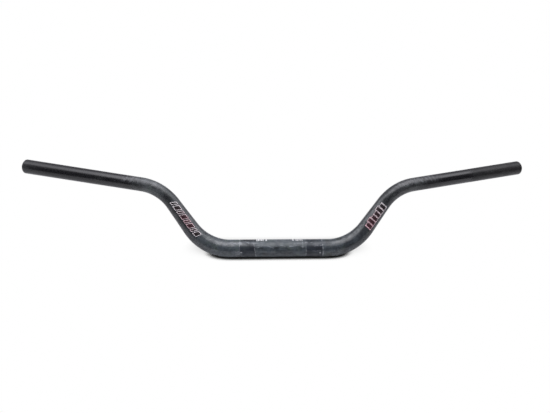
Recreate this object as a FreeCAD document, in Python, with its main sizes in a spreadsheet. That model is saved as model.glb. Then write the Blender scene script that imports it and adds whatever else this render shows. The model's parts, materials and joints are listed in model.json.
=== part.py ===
"""Oversize tapered motorcycle handlebar: one bent aluminium tube with its printed graphics.

Frame: the origin is the middle of the clamp section, on the tube's axis. +X runs along that axis, +Y points
rearwards to the rider and +Z points up, as the bar stands on the motorcycle. Left and right in the names are
as seen from the front, so the right-hand side is +X. The tube is laid out upright first, with its risers in
the XZ plane, and then leans back about the X axis. Lengths are in millimetres and angles in degrees.
"""

import FreeCAD, Part

import math
import os

from FreeCAD import Placement, Rotation, Vector

DRIVING_DIMENSIONS = {
    # the tube
    "clamp_diameter": 28.6,
    "grip_diameter": 22.2,
    "wall_thickness": 4.1,
    "clamp_straight": 160.5,
    "lower_bend_radius": 74.9,
    "lower_bend_angle": 56.0,
    "riser_straight": 49.1,
    "upper_bend_radius": 71.5,
    "grip_rise_angle": 8.6,
    "grip_sweep_angle": 3.2,
    "grip_straight": 182.4,
    "taper_start": 101.2,
    "taper_end": 223.8,
    "end_chamfer": 1.0,
    "bore_chamfer": 0.6,
    "riser_lean": 27.0,
    # the printed layers
    "ink_thickness": 0.08,
    "outline_stroke": 0.8,
    "left_count": 8,
    "left_wide_length": 8.4,
    "left_narrow_length": 4.7,
    "left_gap": 2.1,
    "left_height": 9.5,
    "left_slope": 0.48,
    "left_middle": 171.0,
    "left_turn": 22.0,
    "right_count": 6,
    "right_length": 5.6,
    "right_pitch": 7.4,
    "right_height": 11.5,
    "right_step": 1.9,
    "right_slope": 0.13,
    "right_margin": 0.9,
    "right_middle": 178.1,
    "right_turn": 12.0,
    "tick_count": 5,
    "tick_width": 1.5,
    "tick_pitch": 2.5,
    "tick_arc": 40.0,
    "tick_tilt": 25.0,
    "first_tick": 21.9,
    "ladder_start": 26.8,
}
SECTION_SPACING = 6.0
UP = Vector(0, 0, 1)
BACK = Vector(0, 1, 0)
ALONG = Vector(1, 0, 0)


def make_sheet(doc):
    sheet = doc.addObject("Spreadsheet::Sheet", "dims")
    for row, (alias, value) in enumerate(DRIVING_DIMENSIONS.items(), start=1):
        sheet.set(f"A{row}", alias)
        sheet.set(f"B{row}", str(value))
        sheet.setAlias(f"B{row}", alias)
    doc.recompute()
    return sheet


class Centreline:
    """The tube's axis from the middle of the clamp section to the right-hand end, risers upright.

    It is a line, an arc, a line, an arc and a line, each tangent to the next. A place on it is given by
    its distance along the axis from the middle of the bar.
    """

    def __init__(self, sheet):
        rise = math.radians(sheet.grip_rise_angle)
        sweep = math.radians(sheet.grip_sweep_angle)
        lower = math.radians(sheet.lower_bend_angle)
        riser_heading = Vector(math.cos(lower), 0, math.sin(lower))
        grip_heading = Vector(
            math.cos(sweep) * math.cos(rise), math.sin(sweep) * math.cos(rise), math.sin(rise)
        )
        self.runs = []
        self.end = 0.0
        self.point = Vector(0, 0, 0)
        self.heading = Vector(ALONG)
        self.add_straight(sheet.clamp_straight / 2)
        self.lower_bend_start = self.end
        self.add_bend(riser_heading, sheet.lower_bend_radius)
        self.add_straight(sheet.riser_straight)
        self.add_bend(grip_heading, sheet.upper_bend_radius)
        self.upper_bend_end = self.end
        self.add_straight(sheet.grip_straight)

    def add_straight(self, length):
        self.runs.append((self.end, self.point, self.heading, None, None))
        self.point = self.point + self.heading * length
        self.end += length

    def add_bend(self, new_heading, radius):
        axis = self.heading.cross(new_heading).normalize()
        centre = self.point + axis.cross(self.heading) * radius
        self.runs.append((self.end, self.point, self.heading, axis, centre))
        turn = self.heading.getAngle(new_heading)
        self.point = centre + Rotation(axis, math.degrees(turn)).multVec(self.point - centre)
        self.heading = new_heading
        self.end += radius * turn

    def placement(self, distance):
        """Origin on the axis, local Z along the tube, local X towards the back."""
        start, point, heading, axis, centre = [r for r in self.runs if r[0] <= distance][-1]
        if axis is None:
            point = point + heading * (distance - start)
        else:
            turn = Rotation(axis, math.degrees((distance - start) / (point - centre).Length))
            point = centre + turn.multVec(point - centre)
            heading = turn.multVec(heading)
        return Placement(point, Rotation(BACK, Vector(), heading, "ZXY"))


def taper_share(sheet, distance):
    """How far the diameter has gone from the clamp's to the grip's, from 0 to 1, easing in and out."""
    t = (distance - sheet.taper_start) / (sheet.taper_end - sheet.taper_start)
    t = min(1.0, max(0.0, t))
    return t * t * (3 - 2 * t)


def radius_expression(sheet, distance, offset):
    share = taper_share(sheet, distance)
    diameter = f"dims.clamp_diameter * {1 - share:.6f} + dims.grip_diameter * {share:.6f}"
    return f"({diameter}) / 2 + ({offset})"


def loft_bends(doc, sheet, line, name, offset):
    """A solid through circles along both bends and the riser, its radius set off from the tube's skin."""
    first, last = line.lower_bend_start, line.upper_bend_end
    steps = round((last - first) / SECTION_SPACING)
    circles = []
    for step in range(steps + 1):
        distance = first + (last - first) * step / steps
        circle = doc.addObject("Part::Circle", f"{name}_section")
        circle.setExpression("Radius", radius_expression(sheet, distance, offset))
        circle.Placement = line.placement(distance)
        circles.append(circle)
    loft = doc.addObject("Part::Loft", f"{name}_bends")
    loft.Sections = circles
    loft.Solid = True
    return loft


def cylinder(doc, name, radius, height, placement, angle=None):
    made = doc.addObject("Part::Cylinder", name)
    made.setExpression("Radius", radius)
    made.setExpression("Height", height)
    if angle:
        made.setExpression("Angle", angle)
    made.Placement = placement
    return made


def cone(doc, name, first_radius, last_radius, height, placement):
    made = doc.addObject("Part::Cone", name)
    made.setExpression("Radius1", first_radius)
    made.setExpression("Radius2", last_radius)
    made.setExpression("Height", height)
    made.Placement = placement
    return made


def combine(doc, kind, name, shapes):
    made = doc.addObject(kind, name)
    made.Shapes = shapes
    return made


def cut(doc, name, base, tool):
    made = doc.addObject("Part::Cut", name)
    made.Base = base
    made.Tool = tool
    return made


def mirror_sideways(doc, name, source):
    made = doc.addObject("Part::Mirroring", name)
    made.Source = source
    made.Normal = ALONG
    return made


def half_solid(doc, sheet, line, name, offset, end_parts):
    """Bends, riser and grip of the right half as one solid, from the clamp section's end outwards."""
    bends = loft_bends(doc, sheet, line, name, offset)
    grip = cylinder(
        doc,
        f"{name}_grip",
        f"dims.grip_diameter / 2 + ({offset})",
        "dims.grip_straight - dims.end_chamfer",
        line.placement(line.upper_bend_end),
    )
    return combine(doc, "Part::MultiFuse", f"{name}_right", [bends, grip, *end_parts])


def full_solid(doc, sheet, name, right, offset):
    """The right half, its mirror image and the clamp section between them."""
    left = mirror_sideways(doc, f"{name}_left", right)
    middle = cylinder(
        doc,
        f"{name}_clamp_section",
        f"dims.clamp_diameter / 2 + ({offset})",
        "dims.clamp_straight",
        Placement(ALONG * (-sheet.clamp_straight / 2), Rotation(UP, ALONG)),
    )
    return combine(doc, "Part::MultiFuse", f"{name}_whole", [left, middle, right])


def make_skin(doc, sheet, line):
    """The tube's outside, with a chamfer round each end."""
    chamfer = cone(
        doc,
        "skin_chamfer",
        "dims.grip_diameter / 2",
        "dims.grip_diameter / 2 - dims.end_chamfer",
        "dims.end_chamfer",
        line.placement(line.end - sheet.end_chamfer),
    )
    right = half_solid(doc, sheet, line, "skin", "0", [chamfer])
    return right, full_solid(doc, sheet, "skin", right, "0")


def make_bore(doc, sheet, line):
    """The hollow inside, open at both ends, with a small chamfer at each mouth."""
    inside = "dims.grip_diameter / 2 - dims.wall_thickness"
    mouth = cone(
        doc,
        "bore_mouth",
        inside,
        f"{inside} + dims.bore_chamfer",
        "dims.bore_chamfer",
        line.placement(line.end - sheet.bore_chamfer),
    )
    last_stretch = cylinder(
        doc,
        "bore_last_stretch",
        inside,
        "dims.end_chamfer",
        line.placement(line.end - sheet.end_chamfer),
    )
    right = half_solid(doc, sheet, line, "bore", "-dims.wall_thickness", [last_stretch, mouth])
    return full_solid(doc, sheet, "bore", right, "-dims.wall_thickness")


def slanted_block(doc, line, name, sign, turn, slope, inset):
    """A leaning block that cuts one sign's outline out of the tube's skin, drawn in by the inset all round.

    A sign is its distance along the tube, its length along it, and its bottom and top edges across it. The
    block's local X runs along the tube, Y up across it and Z outwards. It is turned up from the front.
    """
    distance, length, bottom, top = sign
    on_axis = line.placement(distance)
    heading = on_axis.Rotation.multVec(UP)
    facing_front = Rotation(heading, Vector(), -BACK, "ZXY")
    bottom, top = f"({bottom} + ({inset}))", f"({top} - ({inset}))"
    half_length = f"(({length}) / 2 - ({inset}))"
    block = doc.addObject("Part::Wedge", name)
    block.setExpression("Xmin", f"{slope} * {bottom} - {half_length}")
    block.setExpression("Xmax", f"{slope} * {bottom} + {half_length}")
    block.setExpression("X2min", f"{slope} * {top} - {half_length}")
    block.setExpression("X2max", f"{slope} * {top} + {half_length}")
    block.setExpression("Ymin", bottom)
    block.setExpression("Ymax", top)
    for corner in ("Zmin", "Z2min"):
        block.setExpression(corner, "0")
    for corner in ("Zmax", "Z2max"):
        block.setExpression(corner, "dims.clamp_diameter")
    block.Placement = Placement(on_axis.Base, facing_front * Rotation(ALONG, -turn))
    return block


def left_blocks(doc, sheet, line, inset):
    """Wide and narrow signs in turn, with even gaps, leaning towards the clamp section."""
    count = round(sheet.left_count)
    names = [("left_wide_length", "left_narrow_length")[index % 2] for index in range(count)]
    whole = sum(sheet.get(name) for name in names) + (count - 1) * sheet.left_gap
    start = sheet.left_middle - whole / 2
    slope = "-dims.left_slope"
    blocks = []
    for name in names:
        length = sheet.get(name)
        sign = (start + length / 2, f"dims.{name}", "-dims.left_height / 2", "dims.left_height / 2")
        blocks.append(slanted_block(doc, line, "left_block", sign, sheet.left_turn, slope, inset))
        start += length + sheet.left_gap
    return blocks


def right_blocks(doc, sheet, line, length, inset):
    """Evenly spaced signs that share a bottom edge, every third one taller than the rest."""
    count = round(sheet.right_count)
    slope = "dims.right_slope"
    blocks = []
    for index in range(count):
        distance = sheet.right_middle + (index - (count - 1) / 2) * sheet.right_pitch
        top = "dims.right_height / 2"
        if index % 3 != 1:
            top += " - dims.right_step"
        sign = (distance, length, "-dims.right_height / 2", top)
        blocks.append(slanted_block(doc, line, "right_block", sign, sheet.right_turn, slope, inset))
    return blocks


def ink_skin(doc, sheet, line, skin_right):
    """A thin sleeve over the right-hand bends and riser, which the printed shapes are cut from."""
    swollen = loft_bends(doc, sheet, line, "ink", "dims.ink_thickness")
    return cut(doc, "ink_sleeve", swollen, skin_right)


def printed(doc, sleeve, area, name):
    """The ink over one area: the part of the thin sleeve that lies inside that area's solid."""
    return combine(doc, "Part::MultiCommon", name, [sleeve, area])


def left_graphic(doc, sheet, line, sleeve):
    """Slanted frames down the left riser and the dark ink that fills them."""
    outer = left_blocks(doc, sheet, line, "0")
    inner = left_blocks(doc, sheet, line, "dims.outline_stroke")
    outside = combine(doc, "Part::MultiFuse", "left_outside", outer)
    inside = combine(doc, "Part::MultiFuse", "left_inside", inner)
    frames = cut(doc, "left_frames", outside, inside)
    outline = mirror_sideways(doc, "left_outline", printed(doc, sleeve, frames, "left_outline_source"))
    fill = mirror_sideways(doc, "left_fill", printed(doc, sleeve, inside, "left_fill_source"))
    return outline, fill


def right_graphic(doc, sheet, line, sleeve):
    """A light panel with a stepped top up the right riser, and the dark bars let into it."""
    bars = right_blocks(doc, sheet, line, "dims.right_length", "0")
    panels = right_blocks(doc, sheet, line, "dims.right_pitch", "-dims.right_margin")
    dark = combine(doc, "Part::MultiFuse", "right_bars", bars)
    panel = cut(doc, "right_panel", combine(doc, "Part::MultiFuse", "right_panels", panels), dark)
    outline = printed(doc, sleeve, panel, "right_outline")
    fill = printed(doc, sleeve, dark, "right_fill")
    return outline, fill


def scale_tick(doc, sheet, side, distance):
    """A short printed line round the top of the clamp section, at a distance to one side of its middle."""
    start = side * distance - sheet.tick_width / 2
    upright_lean = sheet.riser_lean - sheet.tick_tilt
    first_edge = Rotation(ALONG, upright_lean + 90 - sheet.tick_arc / 2)
    around = Placement(ALONG * start, first_edge * Rotation(UP, ALONG) * Rotation(UP, 90))
    ink = cylinder(
        doc,
        "tick_ink",
        "dims.clamp_diameter / 2 + dims.ink_thickness",
        "dims.tick_width",
        around,
        "dims.tick_arc",
    )
    core = cylinder(doc, "tick_core", "dims.clamp_diameter / 2", "dims.tick_width", around)
    return cut(doc, "tick", ink, core)


def clamp_scale(doc, sheet):
    """Two groups of printed lines, by which the bar is centred and turned in its clamps."""
    ladder = [sheet.ladder_start + index * sheet.tick_pitch for index in range(round(sheet.tick_count))]
    ticks = [
        scale_tick(doc, sheet, side, distance)
        for side in (-1, 1)
        for distance in (sheet.first_tick, *ladder)
    ]
    return combine(doc, "Part::MultiFuse", "clamp_scale", ticks)


def finish_piece(sheet, piece, label):
    """Names a sub-part and leans it back from upright to its place on the motorcycle."""
    piece.Label = label
    piece.Placement = Placement(Vector(), Rotation(ALONG, -sheet.riser_lean))
    return piece


def check_document(doc, pieces):
    for item in doc.Objects:
        if "Invalid" in item.State or "Error" in item.State:
            raise RuntimeError(f"{item.Label} did not recompute: {item.State}")
    for piece in pieces:
        if piece.Shape.isNull() or not piece.Shape.isValid() or not piece.Shape.Solids:
            raise RuntimeError(f"{piece.Label} has no valid solid")


def main():
    doc = FreeCAD.newDocument("handlebar")
    sheet = make_sheet(doc)
    line = Centreline(sheet)
    skin_right, skin = make_skin(doc, sheet, line)
    bore = make_bore(doc, sheet, line)
    tube = cut(doc, "tube", skin, bore)
    sleeve = ink_skin(doc, sheet, line, skin_right)
    left_outline, left_fill = left_graphic(doc, sheet, line, sleeve)
    right_outline, right_fill = right_graphic(doc, sheet, line, sleeve)
    pieces = [
        finish_piece(sheet, tube, "bar_tube"),
        finish_piece(sheet, left_outline, "left_riser_outline"),
        finish_piece(sheet, left_fill, "left_riser_fill"),
        finish_piece(sheet, right_outline, "right_riser_outline"),
        finish_piece(sheet, right_fill, "right_riser_fill"),
        finish_piece(sheet, clamp_scale(doc, sheet), "clamp_scale"),
    ]
    doc.recompute()
    check_document(doc, pieces)
    os.makedirs("parts", exist_ok=True)
    for piece in pieces:
        piece.Shape.exportStep(f"parts/{piece.Label}.step")
        box = piece.Shape.BoundBox
        print(
            f"{piece.Label}: {len(piece.Shape.Solids)} solids, {piece.Shape.Volume:.1f} mm3, "
            f"X {box.XMin:.1f} to {box.XMax:.1f}, Y {box.YMin:.1f} to {box.YMax:.1f}, "
            f"Z {box.ZMin:.1f} to {box.ZMax:.1f}"
        )


main()
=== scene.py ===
"""Looks of an oversize tapered motorcycle handlebar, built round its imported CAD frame.

Everything is in metres in the CAD's own frame: the origin is the middle of the clamp section, +X runs along
it, +Y points rearwards and +Z up. Left and right are as seen from the front, so the right-hand side is +X.

The tube is one closed mesh swept along the CAD's centreline. Each of its points, and each point of the
printed layers, also stores where it would lie if the bar were straight: along the bar, towards the back and
towards the top. The materials read that stored place, so scratches and wear follow the bends.
"""

import json
import math

import bpy
import numpy as np
from mathutils import Matrix, Quaternion, Vector
from mathutils.geometry import delaunay_2d_cdt


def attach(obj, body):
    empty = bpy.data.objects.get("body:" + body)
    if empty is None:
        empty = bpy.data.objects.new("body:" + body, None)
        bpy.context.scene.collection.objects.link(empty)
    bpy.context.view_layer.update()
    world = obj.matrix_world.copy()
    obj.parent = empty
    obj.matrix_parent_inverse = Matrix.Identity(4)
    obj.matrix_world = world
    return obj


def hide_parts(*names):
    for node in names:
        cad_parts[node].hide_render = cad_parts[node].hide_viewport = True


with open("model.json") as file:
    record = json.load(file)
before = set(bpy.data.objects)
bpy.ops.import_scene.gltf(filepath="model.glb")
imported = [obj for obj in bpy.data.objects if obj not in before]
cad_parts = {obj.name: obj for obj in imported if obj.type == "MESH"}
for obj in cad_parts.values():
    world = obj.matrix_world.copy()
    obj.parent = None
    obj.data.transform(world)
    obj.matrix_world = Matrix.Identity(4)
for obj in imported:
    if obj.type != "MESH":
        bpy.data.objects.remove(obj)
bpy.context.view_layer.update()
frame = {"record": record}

MM = 0.001
MOUNTS = {mount["name"]: mount for mount in frame["record"]["mounts"]}

# The tube, as its CAD has it
CLAMP_RADIUS = MOUNTS["clamp_seat"]["dims"]["r_mm"] * MM
CLAMP_STRAIGHT = MOUNTS["clamp_seat"]["dims"]["length_mm"] * MM
GRIP_RADIUS = MOUNTS["right_grip_seat"]["dims"]["r_mm"] * MM
END_CHAMFER = 1.0 * MM
GRIP_STRAIGHT = MOUNTS["right_grip_seat"]["dims"]["length_mm"] * MM + END_CHAMFER
WALL = GRIP_RADIUS - MOUNTS["right_bar_end"]["dims"]["r_mm"] * MM
BORE_CHAMFER = 0.6 * MM
LOWER_BEND_RADIUS = 74.9 * MM
LOWER_BEND_ANGLE = math.radians(56.0)
RISER_STRAIGHT = 49.1 * MM
UPPER_BEND_RADIUS = 71.5 * MM
GRIP_RISE = math.radians(8.6)
GRIP_SWEEP = math.radians(3.2)
TAPER_START = 101.2 * MM
TAPER_END = 223.8 * MM
RISER_LEAN = math.radians(27.0)

# The printed layers, laid out as in the CAD but a little thinner. The ink stands this far above the skin, and
# its underside is sunk as deep into it.
INK_RISE = 0.06 * MM
OUTLINE_STROKE = 0.8 * MM
LEFT_LENGTHS = (8.4 * MM, 4.7 * MM) * 4
LEFT_GAP = 2.1 * MM
LEFT_HEIGHT = 9.5 * MM
LEFT_SLOPE = 0.48
LEFT_MIDDLE = 171.0 * MM
LEFT_TURN = math.radians(22.0)
RIGHT_COUNT = 6
RIGHT_LENGTH = 5.6 * MM
RIGHT_PITCH = 7.4 * MM
RIGHT_HEIGHT = 11.5 * MM
RIGHT_STEP = 1.9 * MM
RIGHT_SLOPE = 0.13
RIGHT_MARGIN = 0.9 * MM
RIGHT_MIDDLE = 178.1 * MM
RIGHT_TURN = math.radians(12.0)
TICK_COUNT = 5
TICK_WIDTH = 1.5 * MM
TICK_PITCH = 2.5 * MM
TICK_ARC = math.radians(40.0)
TICK_MIDDLE = math.radians(88.0)
FIRST_TICK = 21.9 * MM
LADDER_START = 26.8 * MM

# Where the two clamps gripped the bar, as distances from its middle
LEFT_CLAMP = (-64.6 * MM, -39.4 * MM)
RIGHT_CLAMP = (42.6 * MM, 69.8 * MM)

# The scored line at each clamp edge: its distance in mm at the front, how far it slants per degree round the
# tube, and how bare it is on the upper side and on the lower side
SCORED_LINES = (
    (-64.6, 0.0, 0.6, 0.15), (-40.2, -0.035, 0.4, 0.6), (42.6, 0.0, 0.1, 0.5), (69.9, -0.012, 0.8, 0.75),
)

# Small dents in the clamp marks: distance in mm, angle round the tube in degrees, and size in mm
NICKS = ((-62.1, -14.0, 1.5), (65.3, -21.0, 1.5))
NICK_DEPTH = 0.2 * MM

# How far one degree round the clamp section reaches along its skin, in mm
MM_PER_DEGREE = 0.25

# The faint ring pressed in along each clamp edge
RING_DEPTH = 0.06 * MM
RING_HALF_WIDTH = 0.5 * MM

# Rubbed marks in and between the clamp marks, and one painted highlight on the left bend (from -86 to -65
# mm): from and to in mm, from and to in degrees, and strength
PALE_MARKS_AND_HIGHLIGHT = (
    (-60.0, -50.0, 52.0, 62.0, 0.5), (-51.0, -35.0, 44.0, 53.0, 0.6), (-37.0, -24.0, 26.0, 58.0, 0.25),
    (-9.0, 25.0, 58.0, 92.0, 0.2), (15.0, 22.0, 22.0, 29.0, 0.8), (22.0, 42.0, 40.0, 48.0, 0.4),
    (36.4, 37.3, 14.0, 60.0, 0.7), (41.0, 45.0, 46.0, 56.0, 0.6), (50.0, 53.0, 48.0, 56.0, 0.5),
    (55.0, 69.0, 26.0, 31.0, 0.5), (52.0, 66.0, -9.0, -4.0, 0.5), (-63.5, -58.0, -58.0, -46.0, 0.5),
    (-72.0, -60.0, -40.0, -4.0, 0.25), (-86.0, -65.0, 42.0, 54.0, 0.5), (-66.0, -61.0, 38.0, 58.0, 0.6),
)
DARK_MARKS = (
    (-58.0, -38.0, 66.0, 100.0, 0.8), (-9.0, 13.0, 9.0, 24.0, 0.55), (56.0, 68.0, 6.0, 13.0, 0.6),
    (30.0, 41.0, 9.0, 20.0, 0.6), (-34.0, -27.0, 8.0, 18.0, 0.5), (45.0, 62.0, 70.0, 95.0, 0.4),
    (47.0, 68.0, 15.0, 21.0, 0.4),
)

# How the coat has aged along the bar, from black (0) to chalky grey (1), by distance from the middle in mm
AGE = (
    (-445, 0.3), (-425, 0.14), (-412, 0.04), (-336, 0.06), (-321, 0.14), (-306, 0.07), (-282, 0.08),
    (-265, 0.5), (-240, 0.95), (-216, 0.4), (-146, 0.5), (-110, 0.85), (-64, 1.0), (-39, 0.85), (0, 0.85),
    (43, 0.75), (83, 0.75), (112, 0.5), (146, 0.38), (199, 0.38), (263, 0.45), (280, 0.14), (297, 0.16),
    (305, 0.03), (352, 0.03), (360, 0.13), (445, 0.17),
)
# How glossy it still is along the bar, from chalky (0) to glossy (1)
GLOSS = (
    (-445, 0.35), (-389, 0.5), (-321, 0.65), (-302, 0.85), (-274, 0.7), (-265, 0.3), (-243, 0.5),
    (-209, 0.4), (-117, 0.8), (-68, 0.85), (-60, 0.4), (39, 0.35), (70, 0.4), (90, 0.6), (120, 0.65),
    (195, 0.6), (243, 0.75), (277, 0.4), (301, 0.5), (305, 0.9), (352, 0.9), (359, 0.05), (445, 0.0),
)
# How strong the painted sheen is along the bar: a pale band on the upper side, where the light's reflection
# falls
SHEEN_ALONG = (
    (-445, 0.0), (-285, 0.0), (-262, 0.75), (-240, 0.75), (-220, 0.45), (-180, 0.6), (-115, 0.55),
    (-64, 0.45), (-38, 0.0), (43, 0.0), (75, 0.2), (105, 0.6), (140, 0.9), (200, 0.7), (225, 0.1), (445, 0.0),
)
# Which way the grey leans along the bar, from bluish (0) through neutral (0.5) to brownish (1)
HUE = (
    (-445, 0.55), (-331, 0.45), (-234, 0.3), (-165, 0.3), (-107, 0.1), (107, 0.05), (175, 0.3), (292, 0.4),
    (350, 0.6), (445, 0.95),
)

# How red the printed layers are along the bar, from not at all (0) to fully (1)
RED_TINT = (
    (-445, 0.0), (-199, 0.0), (-185, 0.25), (-171, 0.7), (-160, 0.7), (-148, 0.15), (-131, 0.0), (146, 0.8),
    (165, 0.95), (177, 0.5), (191, 0.25), (199, 0.05), (445, 0.0),
)

# How far the printed layers are worn through along the bar
INK_WEAR = (
    (-445, 0.05), (-38, 0.2), (-25, 0.6), (-24, 0.1), (25, 0.1), (26, 0.8), (150, 0.45), (185, 0.9),
    (445, 0.9),
)

# The coat's own colours
FRESH_BLACK = (0.0042, 0.0038, 0.0055, 1)
BLUISH_GREY = (0.064, 0.078, 0.090, 1)
NEUTRAL_GREY = (0.082, 0.086, 0.087, 1)
BROWNISH_GREY = (0.086, 0.082, 0.075, 1)
MOSSY_GREY = (0.074, 0.094, 0.082, 1)
COVERED_BLACK = (0.014, 0.015, 0.024, 1)

# The colours of its wear and dirt, and of the painted sheen and painted highlights on its upper side
RUBBED_GREY = (0.100, 0.117, 0.122, 1)
SHEEN_GREY = (0.195, 0.207, 0.21, 1)
STAIN_BLACK = (0.016, 0.015, 0.016, 1)
PALE_BLUE = (0.26, 0.28, 0.31, 1)
SCUFF_AND_HIGHLIGHT_GREY = (0.158, 0.166, 0.178, 1)
SCRATCH_GREY = (0.16, 0.165, 0.175, 1)
DUST_GREY = (0.2, 0.2, 0.19, 1)
RIM_GREY = (0.16, 0.16, 0.165, 1)
BARE_METAL = (0.42, 0.44, 0.46, 1)

# The colours of the ink, and of what shows where it has worn away
PINKISH_WHITE = (0.88, 0.83, 0.84, 1)
PINK = (0.68, 0.38, 0.43, 1)
NEAR_BLACK = (0.008, 0.006, 0.007, 1)
DARK_RED = (0.06, 0.010, 0.018, 1)
WHITE = (0.8, 0.8, 0.8, 1)
WORN_BLACK = (0.016, 0.014, 0.016, 1)
COAT_GREY = (0.09, 0.09, 0.095, 1)

# How finely the meshes are cut
SEGMENTS = 96
RING_SPACING = 2.0 * MM
FINE_SPACING = 0.25 * MM
BORE_SPACING = 6.0 * MM
PRINT_SPACING = 0.8 * MM


class Centreline:
    """The tube's axis: a line, an arc, a line, an arc and a line on each side of the middle of the bar."""

    def __init__(self):
        along = Vector((1, 0, 0))
        riser = Vector((math.cos(LOWER_BEND_ANGLE), 0, math.sin(LOWER_BEND_ANGLE)))
        flat = math.cos(GRIP_RISE)
        grip = Vector((math.cos(GRIP_SWEEP) * flat, math.sin(GRIP_SWEEP) * flat, math.sin(GRIP_RISE)))
        self.runs = []
        self.end = 0.0
        self.point = Vector((0, 0, 0))
        self.add_straight(along, CLAMP_STRAIGHT / 2)
        self.add_bend(along, riser, LOWER_BEND_RADIUS)
        self.add_straight(riser, RISER_STRAIGHT)
        self.add_bend(riser, grip, UPPER_BEND_RADIUS)
        self.grip_start = self.end
        self.add_straight(grip, GRIP_STRAIGHT)

    def add_straight(self, heading, length):
        self.runs.append((self.end, self.point, heading, None, None))
        self.point = self.point + heading * length
        self.end += length

    def add_bend(self, heading, new_heading, radius):
        axis = heading.cross(new_heading).normalized()
        centre = self.point + axis.cross(heading) * radius
        self.runs.append((self.end, self.point, heading, axis, centre))
        turn = heading.angle(new_heading)
        self.point = centre + Quaternion(axis, turn) @ (self.point - centre)
        self.end += radius * turn

    def place(self, distance):
        """The axis point at a signed distance from the middle, and the directions back and up there."""
        start, point, heading, axis, centre = [run for run in self.runs if run[0] <= abs(distance)][-1]
        if axis is None:
            point = point + heading * (abs(distance) - start)
        else:
            turn = Quaternion(axis, (abs(distance) - start) / (point - centre).length)
            point = centre + turn @ (point - centre)
            heading = turn @ heading
        if distance < 0:
            point = Vector((-point.x, point.y, point.z))
            heading = Vector((heading.x, -heading.y, -heading.z))
        lean = Matrix.Rotation(-RISER_LEAN, 3, "X")
        back = Vector((0, 1, 0))
        back = (back - heading * back.dot(heading)).normalized()
        return lean @ point, lean @ back, lean @ heading.cross(back)


LINE = Centreline()


def smoothstep(share):
    share = np.clip(share, 0, 1)
    return share * share * (3 - 2 * share)


def skin_radius(distance):
    """The tube's outside radius, which eases from the clamp's to the grip's along the risers."""
    share = smoothstep((abs(distance) - TAPER_START) / (TAPER_END - TAPER_START))
    return CLAMP_RADIUS + (GRIP_RADIUS - CLAMP_RADIUS) * float(share)


def rounded(corners, radius, steps=3, closed=False):
    """The corner points of a flat path with each turn eased by a short curve of about that radius."""
    count = len(corners)
    path = []
    for index, corner in enumerate(corners):
        if not closed and index in (0, count - 1):
            path.append(corner)
            continue
        here = Vector(corner)
        before = (Vector(corners[index - 1]) - here).normalized()
        after = (Vector(corners[(index + 1) % count]) - here).normalized()
        first, last = here + before * radius, here + after * radius
        for step in range(steps + 1):
            t = step / steps
            path.append(tuple(first * (1 - t) ** 2 + here * (2 * t * (1 - t)) + last * t * t))
    return path


def new_mesh(name, points, faces, straight):
    """A smooth-shaded piece from its points, with each point's place on the straightened bar."""
    mesh = bpy.data.meshes.new(name)
    mesh.from_pydata(points, [], faces)
    stored = mesh.attributes.new("straight", "FLOAT_VECTOR", "POINT")
    stored.data.foreach_set("vector", np.asarray(straight, np.float32).ravel())
    mesh.polygons.foreach_set("use_smooth", [True] * len(mesh.polygons))
    mesh.update()
    piece = bpy.data.objects.new(name, mesh)
    bpy.context.scene.collection.objects.link(piece)
    return piece


def outer_distances():
    """Where the skin's rings lie along the bar: closer together where the clamps left their marks."""
    last = LINE.end - 2 * END_CHAMFER
    coarse = np.linspace(-last, last, round(2 * last / RING_SPACING) + 1)
    edges = [*LEFT_CLAMP, *RIGHT_CLAMP, *(distance * MM for distance, _, _ in NICKS)]
    reach = 7 * FINE_SPACING
    fine = np.concatenate([np.arange(edge - reach, edge + reach, FINE_SPACING) for edge in edges])
    kept = [d for d in coarse if min(abs(d - edge) for edge in edges) > reach + FINE_SPACING]
    return np.unique(np.round(np.concatenate([kept, fine]) / FINE_SPACING)) * FINE_SPACING


def end_profile(side):
    """Distance and radius of each ring over one end of the bar, from its skin to its bore."""
    bore = GRIP_RADIUS - WALL
    corners = [
        (LINE.end - 1.9 * END_CHAMFER, GRIP_RADIUS),
        (LINE.end - END_CHAMFER, GRIP_RADIUS),
        (LINE.end, GRIP_RADIUS - END_CHAMFER),
        (LINE.end, bore + BORE_CHAMFER),
        (LINE.end - BORE_CHAMFER, bore),
        (LINE.end - 3 * BORE_CHAMFER, bore),
    ]
    return [(side * distance, radius) for distance, radius in rounded(corners, 0.2 * MM)]


def dent_depth(distance, angle):
    """How far the skin is pressed in: faint rings at the clamps' edges, and a nick inside each clamp mark."""
    depth = 0.0
    for edge in (*LEFT_CLAMP, *RIGHT_CLAMP):
        ring = math.exp(-(((distance - edge) / RING_HALF_WIDTH) ** 2))
        depth += RING_DEPTH * ring * (0.6 + 0.4 * math.sin(2 * angle + 40 * edge / MM))
    for nick_distance, nick_angle, size in NICKS:
        turn = math.remainder(angle - math.radians(nick_angle), 2 * math.pi)
        away = math.hypot(distance - nick_distance * MM, turn * CLAMP_RADIUS)
        depth += NICK_DEPTH * math.exp(-((away / (size * MM)) ** 2))
    return depth


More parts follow.
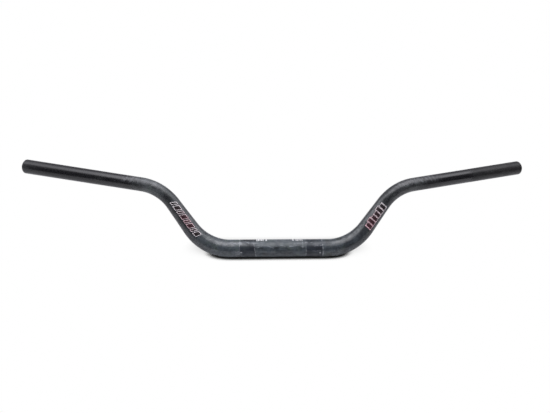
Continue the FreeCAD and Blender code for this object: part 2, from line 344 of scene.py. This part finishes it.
def make_tube():
    """The whole bar as one closed skin: outside, right end, bore from right to left, left end."""
    outside = [(d, skin_radius(d)) for d in outer_distances()]
    bore_last = LINE.end - 4 * BORE_CHAMFER
    bore_count = round(2 * bore_last / BORE_SPACING) + 1
    inside = [(d, skin_radius(d) - WALL) for d in np.linspace(bore_last, -bore_last, bore_count)]
    rings = [*outside, *end_profile(1), *inside, *reversed(end_profile(-1))]
    angles = [2 * math.pi * step / SEGMENTS for step in range(SEGMENTS)]
    points, straight = [], []
    for index, (distance, radius) in enumerate(rings):
        centre, back, up = LINE.place(distance)
        for angle in angles:
            reach = radius
            if index < len(outside):
                reach -= dent_depth(distance, angle)
            towards_back, towards_top = -reach * math.cos(angle), reach * math.sin(angle)
            points.append(centre + back * towards_back + up * towards_top)
            straight.append((distance, towards_back, towards_top))
    faces = []
    for ring in range(len(rings)):
        after = (ring + 1) % len(rings)
        for step in range(SEGMENTS):
            turn = (step + 1) % SEGMENTS
            faces.append((ring * SEGMENTS + step, ring * SEGMENTS + turn, after * SEGMENTS + turn,
                          after * SEGMENTS + step))
    return new_mesh("tube_surface", points, faces, straight)


# ---------------------------------------------------------------- printed layers


def block_loop(distance, length, bottom, top, slope):
    """Outline of one leaning sign, as places along the tube and across it."""
    half = length / 2
    corners = [
        (distance + slope * bottom - half, bottom),
        (distance + slope * bottom + half, bottom),
        (distance + slope * top + half, top),
        (distance + slope * top - half, top),
    ]
    return rounded(corners, 0.35 * MM, closed=True)


def divided(loop, spacing):
    """The closed loop with points added so that none are further apart than the spacing."""
    path = []
    for index, point in enumerate(loop):
        here, after = Vector(point), Vector(loop[(index + 1) % len(loop)])
        count = max(1, math.ceil((after - here).length / spacing))
        path += [here.lerp(after, step / count) for step in range(count)]
    return path


def inside(point, loop):
    """True if the point lies inside the closed loop."""
    crossings = False
    for index, here in enumerate(loop):
        before = loop[index - 1]
        if (here.y > point.y) != (before.y > point.y):
            cut = here.x + (point.y - here.y) * (before.x - here.x) / (before.y - here.y)
            crossings ^= point.x < cut
    return crossings


def print_triangles(loops, holes):
    """Points and triangles that fill the loops but not the holes, fine enough to follow the tube."""
    rims = [divided(loop, PRINT_SPACING) for loop in (*loops, *holes)]
    filled, left_out = rims[: len(loops)], rims[len(loops):]
    points, edges = [], []
    for loop in rims:
        first = len(points)
        points += loop
        edges += [(first + step, first + (step + 1) % len(loop)) for step in range(len(loop))]
    rim = np.array(points)
    low, high = rim.min(0), rim.max(0)

    def printed(point):
        in_hole = any(inside(point, hole) for hole in left_out)
        return not in_hole and any(inside(point, loop) for loop in filled)

    for x in np.arange(low[0], high[0], PRINT_SPACING):
        for y in np.arange(low[1], high[1], PRINT_SPACING):
            clear = np.hypot(rim[:, 0] - x, rim[:, 1] - y).min() > PRINT_SPACING / 2
            if clear and printed(Vector((x, y))):
                points.append(Vector((x, y)))
    made, _, faces, *_ = delaunay_2d_cdt(points, edges, [], 0, 1e-7)
    kept = [face for face in faces if printed(sum((made[i] for i in face), Vector((0, 0))) / 3)]
    return made, kept


def make_print(name, loops, holes, place):
    """A thin closed layer of ink on the skin. place turns a flat point into a distance and an angle."""
    flat, triangles = print_triangles(loops, holes)
    count = len(flat)
    points, straight = [], []
    for lift in (INK_RISE, -INK_RISE):
        for spot in flat:
            distance, angle = place(spot)
            centre, back, up = LINE.place(distance)
            reach = skin_radius(distance) + lift
            towards_back, towards_top = -reach * math.cos(angle), reach * math.sin(angle)
            points.append(centre + back * towards_back + up * towards_top)
            straight.append((distance, towards_back, towards_top))
    sides = {(a, b) for face in triangles for a, b in zip(face, face[1:] + face[:1])}
    walls = [(b, a, a + count, b + count) for a, b in sides if (b, a) not in sides]
    bottoms = [tuple(index + count for index in reversed(face)) for face in triangles]
    return new_mesh(name, points, [*triangles, *bottoms, *walls], straight)


def on_front(turn):
    """Lays a flat print on the tube's front, turned up round the tube by that angle."""
    return lambda spot: (spot.x, turn + math.asin(spot.y / skin_radius(spot.x)))


def on_top(spot):
    """Wraps a print round the clamp section: spot holds the distance along it and the arc's length."""
    return spot.x, TICK_MIDDLE + spot.y / CLAMP_RADIUS


def left_signs(inset):
    """Wide and narrow signs in turn down the left riser, each drawn in by the inset all round."""
    whole = sum(LEFT_LENGTHS) + LEFT_GAP * (len(LEFT_LENGTHS) - 1)
    start = LEFT_MIDDLE - whole / 2
    reach = LEFT_HEIGHT / 2 - inset
    loops = []
    for length in LEFT_LENGTHS:
        distance = -(start + length / 2)
        loops.append(block_loop(distance, length - 2 * inset, -reach, reach, LEFT_SLOPE))
        start += length + LEFT_GAP
    return loops


def right_signs(length, inset):
    """Evenly spaced signs up the right riser that share a bottom edge, every third one taller."""
    loops = []
    for index in range(RIGHT_COUNT):
        distance = RIGHT_MIDDLE + (index - (RIGHT_COUNT - 1) / 2) * RIGHT_PITCH
        top = RIGHT_HEIGHT / 2 - (0 if index % 3 == 1 else RIGHT_STEP)
        loops.append(
            block_loop(distance, length - 2 * inset, inset - RIGHT_HEIGHT / 2, top - inset, RIGHT_SLOPE)
        )
    return loops


def make_left_graphic():
    outer, inner = left_signs(0.0), left_signs(OUTLINE_STROKE)
    return (
        make_print("left_outline_print", outer, inner, on_front(LEFT_TURN)),
        make_print("left_fill_print", inner, [], on_front(LEFT_TURN)),
    )


def make_right_graphic():
    bars = right_signs(RIGHT_LENGTH, 0.0)
    panels = right_signs(RIGHT_PITCH, -RIGHT_MARGIN)
    return (
        make_print("right_outline_print", panels, bars, on_front(RIGHT_TURN)),
        make_print("right_fill_print", bars, [], on_front(RIGHT_TURN)),
    )


def make_clamp_scale():
    distances = [FIRST_TICK, *(LADDER_START + index * TICK_PITCH for index in range(TICK_COUNT))]
    reach = TICK_ARC * CLAMP_RADIUS / 2
    ticks = [
        block_loop(side * distance, TICK_WIDTH, -reach, reach, 0.0)
        for side in (-1, 1)
        for distance in distances
    ]
    return make_print("scale_print", ticks, [], on_top)


# ---------------------------------------------------------------- materials


class Graph:
    """Adds shader nodes to a material or a world and joins them."""

    def __init__(self, owner):
        owner.use_nodes = True
        self.owner = owner
        self.tree = owner.node_tree

    @property
    def shader(self):
        return self.tree.nodes["Principled BSDF"]

    def node(self, kind, inputs, **settings):
        made = self.tree.nodes.new("ShaderNode" + kind)
        for name, setting in settings.items():
            setattr(made, name, setting)
        for key, value in inputs.items():
            self.feed(made.inputs[key], value)
        return made

    def feed(self, socket, value):
        if isinstance(value, bpy.types.NodeSocket):
            self.tree.links.new(value, socket)
        else:
            socket.default_value = value

    def straight(self):
        """The place on the straightened bar, its distance along in mm and its angle round in degrees."""
        place = self.node("Attribute", {}, attribute_name="straight").outputs["Vector"]
        parts = self.node("SeparateXYZ", {"Vector": place}).outputs
        front = self.math("MULTIPLY", parts["Y"], -1.0)
        angle = self.math("DEGREES", self.math("ARCTAN2", parts["Z"], front))
        return place, self.math("DIVIDE", parts["X"], MM), angle

    def along(self, distance, stops):
        """A value that follows a short list of distances in mm and amounts along the bar."""
        end = LINE.end / MM
        share = self.math("MULTIPLY_ADD", distance, 0.5 / end, 0.5)
        made = self.node("ValToRGB", {"Fac": share})
        elements = made.color_ramp.elements
        for index, (place, amount) in enumerate(stops):
            position = min(1.0, max(0.0, 0.5 + 0.5 * place / end))
            element = elements[index] if index < 2 else elements.new(position)
            element.position = position
            element.color = (amount, amount, amount, 1)
        return self.node("RGBToBW", {"Color": made.outputs["Color"]}).outputs["Val"]

    def math(self, operation, *operands, clamp=False):
        made = self.node("Math", dict(enumerate(operands)), operation=operation, use_clamp=clamp)
        return made.outputs[0]

    def ramp(self, value, low, high, first=0.0, last=1.0):
        """first below low, last above high and smooth between. Low may be the larger of the two."""
        made = self.node(
            "MapRange",
            {"Value": value, "From Min": low, "From Max": high, "To Min": first, "To Max": last},
            interpolation_type="SMOOTHSTEP",
        )
        return made.outputs["Result"]

    def noise(self, place, size, stretch=(1, 1, 1), detail=3.0, roughness=0.55):
        """Noise whose lumps are about size metres across, times the stretch along each direction."""
        scaled = self.node(
            "VectorMath",
            {0: place, 1: tuple(1 / (size * s) for s in stretch)},
            operation="MULTIPLY",
        )
        made = self.node(
            "TexNoise",
            {"Vector": scaled.outputs[0], "Scale": 1.0, "Detail": detail, "Roughness": roughness},
        )
        return made.outputs[0]

    def mix(self, share, first, second):
        made = self.node("Mix", {"Factor": share}, data_type="RGBA")
        for key, value in (("A_Color", first), ("B_Color", second)):
            socket = next(s for s in made.inputs if s.identifier == key)
            self.feed(socket, value)
        return next(s for s in made.outputs if s.identifier == "Result_Color")

    def band(self, value, low, high, soft):
        """1 between low and high, easing to 0 outside them."""
        rise = self.ramp(value, low - soft, low + soft)
        fall = self.ramp(value, high + soft, high - soft)
        return self.math("MULTIPLY", rise, fall)

    def product(self, *factors):
        result = factors[0]
        for factor in factors[1:]:
            result = self.math("MULTIPLY", result, factor)
        return result

    def either(self, *amounts):
        """The largest of several amounts."""
        result = amounts[0]
        for amount in amounts[1:]:
            result = self.math("MAXIMUM", result, amount)
        return result


def aged_coat(graph, place, distance):
    """The coat's colour before its marks, cloudy and greyer where it has aged."""
    cloud = graph.noise(place, 9 * MM, (1.6, 1, 1), 4.0)
    patch = graph.noise(place, 3.2 * MM, (1, 1.5, 1.5), 3.0)
    age = graph.along(distance, AGE)
    age = graph.product(age, graph.math("MULTIPLY_ADD", cloud, 3.0, -0.5))
    age = graph.math("MULTIPLY", age, graph.math("MULTIPLY_ADD", patch, 1.6, 0.2), clamp=True)
    hue = graph.along(distance, HUE)
    aged = graph.mix(graph.ramp(hue, 0.0, 0.5), BLUISH_GREY, NEUTRAL_GREY)
    aged = graph.mix(graph.ramp(hue, 0.5, 1.0), aged, BROWNISH_GREY)
    mossy = graph.ramp(graph.noise(place, 12 * MM), 0.5, 0.7)
    aged = graph.mix(graph.product(mossy, 0.6), aged, MOSSY_GREY)
    return graph.mix(age, FRESH_BLACK, aged)


def top_wear(graph, place, distance, angle):
    """Where the coat between the clamps is rubbed on top, and the pale rim along that patch's lower edge.

    The lower edge is a row of arcs, each 26 mm long, that rise from 12 to 27 degrees above the front.
    """
    arc_length, shift = 26.0, 11.0
    turn = graph.math("MULTIPLY_ADD", distance, math.pi / arc_length, math.pi * shift / arc_length)
    rise = graph.math("ABSOLUTE", graph.math("SINE", turn))
    lower_edge = graph.math("MULTIPLY_ADD", rise, 15.0, 12.0)
    wobble = graph.math("MULTIPLY_ADD", graph.noise(place, 3 * MM), 8.0, -4.0)
    height = graph.math("SUBTRACT", graph.math("ADD", angle, wobble), lower_edge)
    between = graph.band(distance, LEFT_CLAMP[1] / MM, RIGHT_CLAMP[0] / MM, 2.0)
    broken = graph.ramp(graph.noise(place, 5 * MM, (2, 1, 1), 5.0), 0.3, 0.6)
    flecked = graph.ramp(graph.noise(place, 2.5 * MM, (2, 1, 1), 4.0), 0.45, 0.62)
    rubbed = graph.product(graph.band(height, 0.0, 105.0, 2.0), between, broken)
    return rubbed, graph.product(graph.band(height, 0.0, 5.0, 1.5), between, flecked)


def listed_marks(graph, place, distance, angle, listed):
    """The listed marks, with ragged edges and worn away in places: stains, rubbed marks and one painted
    highlight.
    """
    ragged = graph.math("ADD", angle, graph.math("MULTIPLY_ADD", graph.noise(place, 3 * MM), 16.0, -8.0))
    found = [
        graph.product(graph.band(distance, start, end, 0.5), graph.band(ragged, low, high, 3.0), strength)
        for start, end, low, high, strength in listed
    ]
    worn_away = graph.ramp(graph.noise(place, 1.6 * MM, (3, 1, 1), 4.0), 0.36, 0.56)
    return graph.product(graph.either(*found), worn_away)


def clamp_bands(graph, distance):
    """1 inside the two places where clamps covered the coat."""
    bands = [graph.band(distance, low / MM, high / MM, 0.6) for low, high in (LEFT_CLAMP, RIGHT_CLAMP)]
    return graph.either(*bands)


def scored_lines(graph, place, distance, angle):
    """Thin broken lines of bare metal where the clamps' edges cut into the coat."""
    lines = []
    for front, slant, above, below in SCORED_LINES:
        wander = graph.math("MULTIPLY_ADD", graph.noise(place, 12 * MM), 1.0, front - 0.5)
        away = graph.math("SUBTRACT", distance, graph.math("MULTIPLY_ADD", angle, slant, wander))
        thin = graph.ramp(graph.math("ABSOLUTE", away), 0.8, 0.25)
        lines.append(graph.math("MULTIPLY", thin, graph.ramp(angle, -15, 30, below, above)))
    broken = graph.ramp(graph.noise(place, 2.2 * MM, (3, 1, 1), 4.0), 0.38, 0.6)
    return graph.math("MULTIPLY", graph.either(*lines), broken)


def nicks(graph, distance, angle):
    """Small chips down to bare metal."""
    chips = []
    for nick_distance, nick_angle, size in NICKS:
        sideways = graph.math("SUBTRACT", distance, nick_distance)
        around = graph.product(graph.math("SUBTRACT", angle, nick_angle), MM_PER_DEGREE)
        squares = graph.math("ADD", graph.product(sideways, sideways), graph.product(around, around))
        chips.append(graph.ramp(graph.math("SQRT", squares), size, size * 0.4))
    return graph.either(*chips)


def knee_scuffs_and_highlights(graph, place, distance, angle):
    """Pale rubbed patches on the upper side of the two knees, where the risers bend into the grips; partly
    painted highlight, where the light falls on the knees.
    """
    knees = graph.either(graph.band(distance, -290, -234, 8), graph.band(distance, 234, 302, 8))
    facing_up = graph.band(angle, 12, 75, 12)
    patches = graph.ramp(graph.noise(place, 3 * MM, (1, 3, 3), 4.0), 0.42, 0.7)
    return graph.product(knees, facing_up, patches)


def scratches(graph, place):
    """Fine scratches, most of them along the bar and some round it."""
    lengthwise = graph.ramp(graph.noise(place, 0.35 * MM, (45, 1, 1), 2.0), 0.63, 0.7)
    crosswise = graph.ramp(graph.noise(place, 0.4 * MM, (1, 14, 14), 2.0), 0.66, 0.74)
    patchy = graph.ramp(graph.noise(place, 22 * MM), 0.35, 0.65)
    return graph.product(graph.either(lengthwise, crosswise), patchy)


def painted_sheen(graph, place, distance, angle):
    """A painted sheen: a pale band along the upper side, where the reflection of the light falls."""
    film = graph.product(graph.along(distance, SHEEN_ALONG), graph.band(angle, 38, 66, 9))
    return graph.product(film, graph.ramp(graph.noise(place, 4 * MM, (2, 1, 1), 4.0), 0.2, 0.75))


def end_rims(graph, distance):
    """1 on the turned edge at each end of the bar."""
    edge = LINE.end / MM - END_CHAMFER / MM
    return graph.band(graph.math("ABSOLUTE", distance), edge - 0.3, edge + 0.3, 0.3)


def coat_roughness(graph, gloss, grain, worn):
    """Rougher where the coat is chalky, grainy or worn."""
    roughness = graph.math("MULTIPLY_ADD", gloss, -0.16, 0.36)
    roughness = graph.math("ADD", roughness, graph.math("MULTIPLY_ADD", grain, 0.08, -0.04))
    return graph.math("MULTIPLY_ADD", worn, 0.1, roughness)


def coat_specular(graph, place, distance, gloss, covered):
    """Uneven where the coat has aged, and weaker where a clamp covered it."""
    blotchy = graph.ramp(graph.noise(place, 6 * MM, (1.5, 1, 1), 4.0), 0.35, 0.65, -0.4, 0.4)
    uneven = graph.math("MULTIPLY_ADD", blotchy, graph.along(distance, AGE), 1.0)
    uneven = graph.product(uneven, graph.math("MULTIPLY_ADD", covered, -0.25, 1.0))
    return graph.product(graph.math("MULTIPLY_ADD", gloss, 0.3, 0.28), uneven)


def tube_material():
    """Black anodising, aged unevenly along the bar, with clamp marks, scuffing, scratches and dust, painted
    highlights on the knees and a painted sheen along the upper side.
    """
    graph = Graph(bpy.data.materials.new("worn_black_anodised"))
    place, distance, angle = graph.straight()
    bands = clamp_bands(graph, distance)
    below = graph.ramp(angle, 38, 28)
    rubbed, rim = top_wear(graph, place, distance, angle)
    dark = listed_marks(graph, place, distance, angle, DARK_MARKS)
    # Pale rubbed marks, and one painted highlight on the left bend
    pale = graph.either(graph.product(rim, 0.6), listed_marks(graph, place, distance, angle, PALE_MARKS_AND_HIGHLIGHT))
    scuffed_and_lit = knee_scuffs_and_highlights(graph, place, distance, angle)
    scratched = scratches(graph, place)
    dust = graph.ramp(graph.noise(place, 0.7 * MM, detail=1.0), 0.72, 0.8)
    bare = graph.either(scored_lines(graph, place, distance, angle), nicks(graph, distance, angle))

    # Each layer over the last: how much of it there is, and its colour
    layers = (
        (graph.product(bands, graph.math("MULTIPLY_ADD", below, 0.32, 0.32)), COVERED_BLACK),
        (graph.product(rubbed, 0.6), RUBBED_GREY),
        # Painted sheen: a pale band on the upper side, where the light is reflected
        (painted_sheen(graph, place, distance, angle), SHEEN_GREY),
        (dark, STAIN_BLACK),
        # Pale rubbed marks, and one painted highlight on the left bend
        (pale, PALE_BLUE),
        # Scuffing on the knees, partly painted highlight where the light falls on their upper side
        (graph.product(scuffed_and_lit, 0.6), SCUFF_AND_HIGHLIGHT_GREY),
        (graph.product(scratched, 0.2), SCRATCH_GREY),
        (graph.product(dust, 0.3), DUST_GREY),
        (graph.product(end_rims(graph, distance), 0.2), RIM_GREY),
        (graph.product(bare, 0.85), BARE_METAL),
    )
    colour = aged_coat(graph, place, distance)
    for share, tone in layers:
        colour = graph.mix(share, colour, tone)

    gloss = graph.along(distance, GLOSS)
    grain = graph.noise(place, 0.9 * MM, (2, 1, 1), 4.0)
    relief = graph.math("MULTIPLY_ADD", scratched, -0.6, graph.product(grain, 0.5))
    bump = graph.node("Bump", {"Height": relief, "Strength": 0.35, "Distance": 0.03 * MM})
    shader = graph.shader
    graph.feed(shader.inputs["Base Color"], colour)
    graph.feed(shader.inputs["Roughness"], coat_roughness(graph, gloss, grain, graph.either(rubbed, scuffed_and_lit)))
    covered = graph.product(bands, below)
    graph.feed(shader.inputs["Specular IOR Level"], coat_specular(graph, place, distance, gloss, covered))
    graph.feed(shader.inputs["Normal"], bump.outputs["Normal"])
    return graph.owner


def ink_material(name, plain, tinted, rubbed):
    """Printed ink that turns from its plain colour to a tinted one along the bar and is rubbed in places."""
    graph = Graph(bpy.data.materials.new(name))
    place, distance, _ = graph.straight()
    cloud = graph.noise(place, 2.5 * MM)
    cloudy = graph.math("MULTIPLY_ADD", cloud, 1.2, 0.4)
    tint = graph.math("MULTIPLY", graph.along(distance, RED_TINT), cloudy, clamp=True)
    colour = graph.mix(tint, plain, tinted)
    worn = graph.ramp(graph.noise(place, 1.4 * MM, detail=4.0), 0.4, 0.62)
    worn = graph.product(worn, graph.along(distance, INK_WEAR))
    colour = graph.mix(worn, colour, rubbed)
    graph.feed(graph.shader.inputs["Base Color"], colour)
    graph.feed(graph.shader.inputs["Roughness"], graph.math("MULTIPLY_ADD", cloud, 0.2, 0.32))
    return graph.owner


# ---------------------------------------------------------------- stage


def make_floor():
    """A plain floor under the clamp section, which the camera sees as white with two soft shadows.

    One is thin, where the bar rests on the floor. The other is faint and wide, under the lower bends and
    behind the clamp section, as if most of the light came from the front.
    """
    half = 8.0
    height = -CLAMP_RADIUS
    mesh = bpy.data.meshes.new("floor")
    corners = [(-half, -half, height), (half, -half, height), (half, half, height), (-half, half, height)]
    mesh.from_pydata(corners, [], [(0, 1, 2, 3)])
    floor = bpy.data.objects.new("floor", mesh)
    bpy.context.scene.collection.objects.link(floor)
    graph = Graph(bpy.data.materials.new("pale_floor"))
    graph.shader.inputs["Base Color"].default_value = (0.78, 0.78, 0.78, 1)
    graph.shader.inputs["Roughness"].default_value = 0.9
    open_above = graph.node("AmbientOcclusion", {"Distance": 22 * MM}, samples=32)
    thin_shadow = graph.ramp(open_above.outputs["AO"], 0.32, 0.55, 0.012, 1.0)
    towards_front = graph.node("CombineXYZ", {"Y": -0.87, "Z": 0.5}).outputs["Vector"]
    open_in_front = graph.node("AmbientOcclusion", {"Distance": 36 * MM, "Normal": towards_front}, samples=32)
    wide_shadow = graph.ramp(open_in_front.outputs["AO"], 0.3, 0.97, 0.25, 1.0)
    white = graph.node("Emission", {"Strength": graph.product(thin_shadow, wide_shadow)})
    for_camera = graph.node("LightPath", {}).outputs["Is Camera Ray"]
    seen = graph.node("MixShader", {0: for_camera, 1: graph.shader.outputs[0], 2: white.outputs[0]})
    graph.feed(graph.tree.nodes["Material Output"].inputs["Surface"], seen.outputs[0])
    mesh.materials.append(graph.owner)


def make_world():
    """White for the camera. As light, a room with a bright ceiling and sides, a pale back and a dim front."""
    world = bpy.data.worlds.new("studio")
    bpy.context.scene.world = world
    graph = Graph(world)
    direction = graph.node("TexCoord", {}).outputs["Generated"]
    x, y, z = graph.node("SeparateXYZ", {"Vector": direction}).outputs
    # The ceiling begins higher up towards the front, and the sides leave the front out
    height = graph.math("MULTIPLY_ADD", graph.math("MINIMUM", y, 0.0), 0.55, z)
    ceiling = graph.ramp(height, 0.6, 0.88, 0.0, 2.1)
    side = graph.ramp(graph.math("ABSOLUTE", x), 0.5, 0.8, 0.0, 1.4)
    side = graph.product(side, graph.ramp(y, -0.6, -0.1))
    back = graph.ramp(y, -0.2, 0.6, 0.08, 0.42)
    room = graph.either(ceiling, side, back)
    for_camera = graph.node("LightPath", {}).outputs["Is Camera Ray"]
    background = graph.tree.nodes["Background"]
    tone = graph.mix(for_camera, (0.95, 0.94, 1.0, 1), (1.0, 1.0, 1.0, 1))
    graph.feed(background.inputs["Color"], tone)
    strength = graph.node("Mix", {"Factor": for_camera, "A": room, "B": 1.0})
    graph.feed(background.inputs["Strength"], strength.outputs["Result"])


def make_overhead_light():
    """A wide soft light straight above."""
    light = bpy.data.lights.new("overhead", "SUN")
    light.energy = 1.05
    light.angle = math.radians(58.0)
    light.color = (0.97, 0.965, 1.0)
    lamp = bpy.data.objects.new("overhead", light)
    bpy.context.scene.collection.objects.link(lamp)


def make_camera():
    """In front of the bar and above it, nearly 0.6 m away, looking down with a slight turn and roll."""
    data = bpy.data.cameras.new("camera")
    data.sensor_width = 36.0
    data.lens = 23.19
    camera = bpy.data.objects.new("camera", data)
    turn, tilt, roll = math.radians(3.19), math.radians(35.54), math.radians(1.73)
    pose = Matrix.Translation((-0.0335, -0.4336, 0.3940)) @ Matrix.Rotation(-turn, 4, "Z")
    camera.matrix_world = pose @ Matrix.Rotation(math.pi / 2 - tilt, 4, "X") @ Matrix.Rotation(roll, 4, "Z")
    bpy.context.scene.collection.objects.link(camera)
    bpy.context.scene.camera = camera


def dress(piece, material, slot, *nodes):
    """Gives a piece its material and joins it to the frame in place of its CAD nodes."""
    piece.data.materials.append(material)
    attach(piece, "root")
    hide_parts(*nodes)


make_camera()
make_floor()
make_world()
make_overhead_light()
bpy.context.scene.view_settings.view_transform = "Standard"

dress(make_tube(), tube_material(), "black_anodised", "bar_tube")
light_ink = ink_material("pinkish_white_ink", PINKISH_WHITE, PINK, COAT_GREY)
dark_ink = ink_material("near_black_ink", NEAR_BLACK, DARK_RED, WORN_BLACK)
white_ink = ink_material("white_ink", WHITE, WHITE, COAT_GREY)
left_outline, left_fill = make_left_graphic()
right_outline, right_fill = make_right_graphic()
dress(left_outline, light_ink, "light_ink", "left_riser_outline")
dress(left_fill, dark_ink, "dark_ink", "left_riser_fill")
dress(right_outline, light_ink, "light_ink", "right_riser_outline")
dress(right_fill, dark_ink, "dark_ink", "right_riser_fill")
dress(make_clamp_scale(), white_ink, "white_ink", "clamp_scale")
